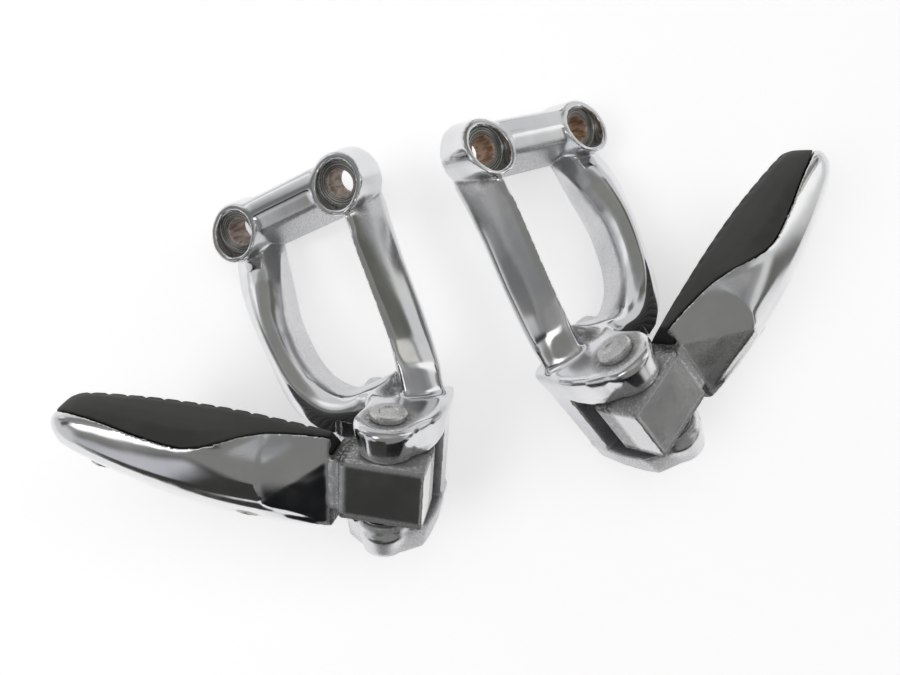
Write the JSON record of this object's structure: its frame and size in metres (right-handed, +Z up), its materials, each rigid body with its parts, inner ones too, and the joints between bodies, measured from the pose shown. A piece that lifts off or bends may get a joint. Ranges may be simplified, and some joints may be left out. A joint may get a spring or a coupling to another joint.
{
  "type": "motorcycle passenger footpegs",
  "caption": "Mirrored chrome footpegs for a passenger, each a cast bracket with two bolt bosses and a window, and a rubber-topped peg that folds about a clevis pin.",
  "frame": {"origin": "middle of the pair's box, on the table that it lies on", "axes": "+Z up from the table, +X along the pair's length, +Y towards the bolt bosses"},
  "size_m": [0.259, 0.1796, 0.071],
  "materials": {
    "bracket": "polished chrome plate over a casting",
    "peg_body": "polished chrome plate over a casting",
    "pivot_pin": "turned steel, dull",
    "rubber_pad": "matt black moulded rubber",
    "pad_screw": "plated steel, slightly tarnished",
    "inner_steel": "plain steel"
  },
  "bodies": {
    "brackets": {"bracket_left": "bracket", "pivot_pin_left": "pivot_pin", "pin_washer_left": "inner_steel", "pin_clip_left": "inner_steel", "wave_washer_left": "inner_steel", "bracket_right": "bracket", "pivot_pin_right": "pivot_pin", "pin_washer_right": "inner_steel", "pin_clip_right": "inner_steel", "wave_washer_right": "inner_steel"},
    "peg_left": {"peg_body_left": "peg_body", "rubber_pad_left": "rubber_pad", "pad_plate_left": "inner_steel", "pad_screw_inner_left": "pad_screw", "pad_screw_outer_left": "pad_screw", "detent_ball_left": "inner_steel", "detent_spring_left": "inner_steel"},
    "peg_right": {"peg_body_right": "peg_body", "rubber_pad_right": "rubber_pad", "pad_plate_right": "inner_steel", "pad_screw_inner_right": "pad_screw", "pad_screw_outer_right": "pad_screw", "detent_ball_right": "inner_steel", "detent_spring_right": "inner_steel"}
  },
  "joints": [
    {"name": "fold_left", "type": "hinge", "parent": "brackets", "child": "peg_left", "pos_m": [-0.02542, -0.06438, 0.04637], "axis": [0.0632, 0.8533, 0.5176], "range_deg": [-8, 83.4]},
    {"name": "fold_right", "type": "hinge", "parent": "brackets", "child": "peg_right", "pos_m": [0.06264, -0.03801, 0.04637], "axis": [0.6043, -0.6058, -0.5176], "range_deg": [-2.52, 88.88]}
  ]
}
